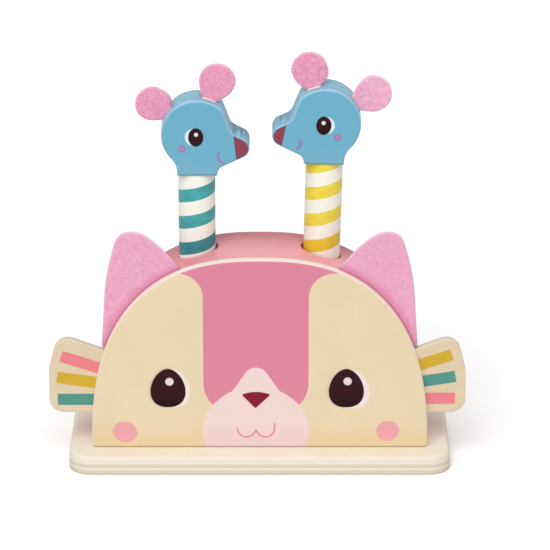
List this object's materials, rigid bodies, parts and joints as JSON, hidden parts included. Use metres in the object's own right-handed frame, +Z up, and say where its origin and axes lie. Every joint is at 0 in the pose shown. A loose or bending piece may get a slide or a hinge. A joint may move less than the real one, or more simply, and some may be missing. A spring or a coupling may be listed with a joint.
{
  "type": "pop up animal toy",
  "caption": "Wooden push-and-pop toy: an arched cat front on a base board, with striped sprung pegs that end in turning mouse heads with felt ears.",
  "frame": {"origin": "middle of the underside of the base board", "axes": "+X to the right as the cat's face is seen, +Y from the cat's face to the back, +Z up"},
  "size_m": [0.2726, 0.104, 0.2709],
  "materials": {
    "base_ply": "satin",
    "printed_ply": "satin",
    "salmon_paint": "satin",
    "inner_wood": "matte",
    "cat_felt": "matte",
    "mouse_felt": "matte",
    "fin_ply": "satin",
    "screw_steel": "satin",
    "spring_steel": "bright",
    "teal_striped_peg": "gloss",
    "yellow_striped_peg": "gloss",
    "mouse_blue": "satin"
  },
  "bodies": {
    "housing": {"base_board": "base_ply", "front_panel": "printed_ply", "back_board": "salmon_paint", "arch_cover": "salmon_paint", "guide_block": "inner_wood", "left_corner_block": "inner_wood", "right_corner_block": "inner_wood", "left_cat_ear": "cat_felt", "right_cat_ear": "cat_felt", "left_fin": "fin_ply", "right_fin": "fin_ply", "panel_pins": "inner_wood", "base_screws": "screw_steel", "left_spring_seat": "inner_wood", "right_spring_seat": "inner_wood"},
    "left_plunger": {"left_spring": "spring_steel", "left_spring_cap": "inner_wood"},
    "left_mouse": {"left_foot": "inner_wood", "left_foot_screw": "screw_steel", "left_peg": "teal_striped_peg", "left_neck_pin": "inner_wood", "left_head": "mouse_blue", "left_top_ear": "mouse_felt", "left_rear_ear": "mouse_felt"},
    "right_plunger": {"right_spring": "spring_steel", "right_spring_cap": "inner_wood"},
    "right_mouse": {"right_foot": "inner_wood", "right_foot_screw": "screw_steel", "right_peg": "yellow_striped_peg", "right_neck_pin": "inner_wood", "right_head": "mouse_blue", "right_top_ear": "mouse_felt", "right_rear_ear": "mouse_felt"}
  },
  "joints": [
    {"name": "left_press", "type": "slide", "parent": "housing", "child": "left_plunger", "axis": [0, 0, 1], "range_m": [-0.04, 0.008], "stiffness_N_per_m": 150, "springref_m": 0.0049, "deforming": ["left_spring"]},
    {"name": "left_turn", "type": "hinge", "parent": "left_plunger", "child": "left_mouse", "pos_m": [-0.0408, 0.0035, 0.15], "axis": [0, 0, 1], "continuous": true},
    {"name": "right_press", "type": "slide", "parent": "housing", "child": "right_plunger", "axis": [0.0262, 0, 0.9997], "range_m": [-0.0476, 0.0004], "stiffness_N_per_m": 150, "springref_m": 0.0049, "deforming": ["right_spring"]},
    {"name": "right_turn", "type": "hinge", "parent": "right_plunger", "child": "right_mouse", "pos_m": [0.04, 0.0035, 0.1185], "axis": [0.0262, 0, 0.9997], "continuous": true}
  ]
}
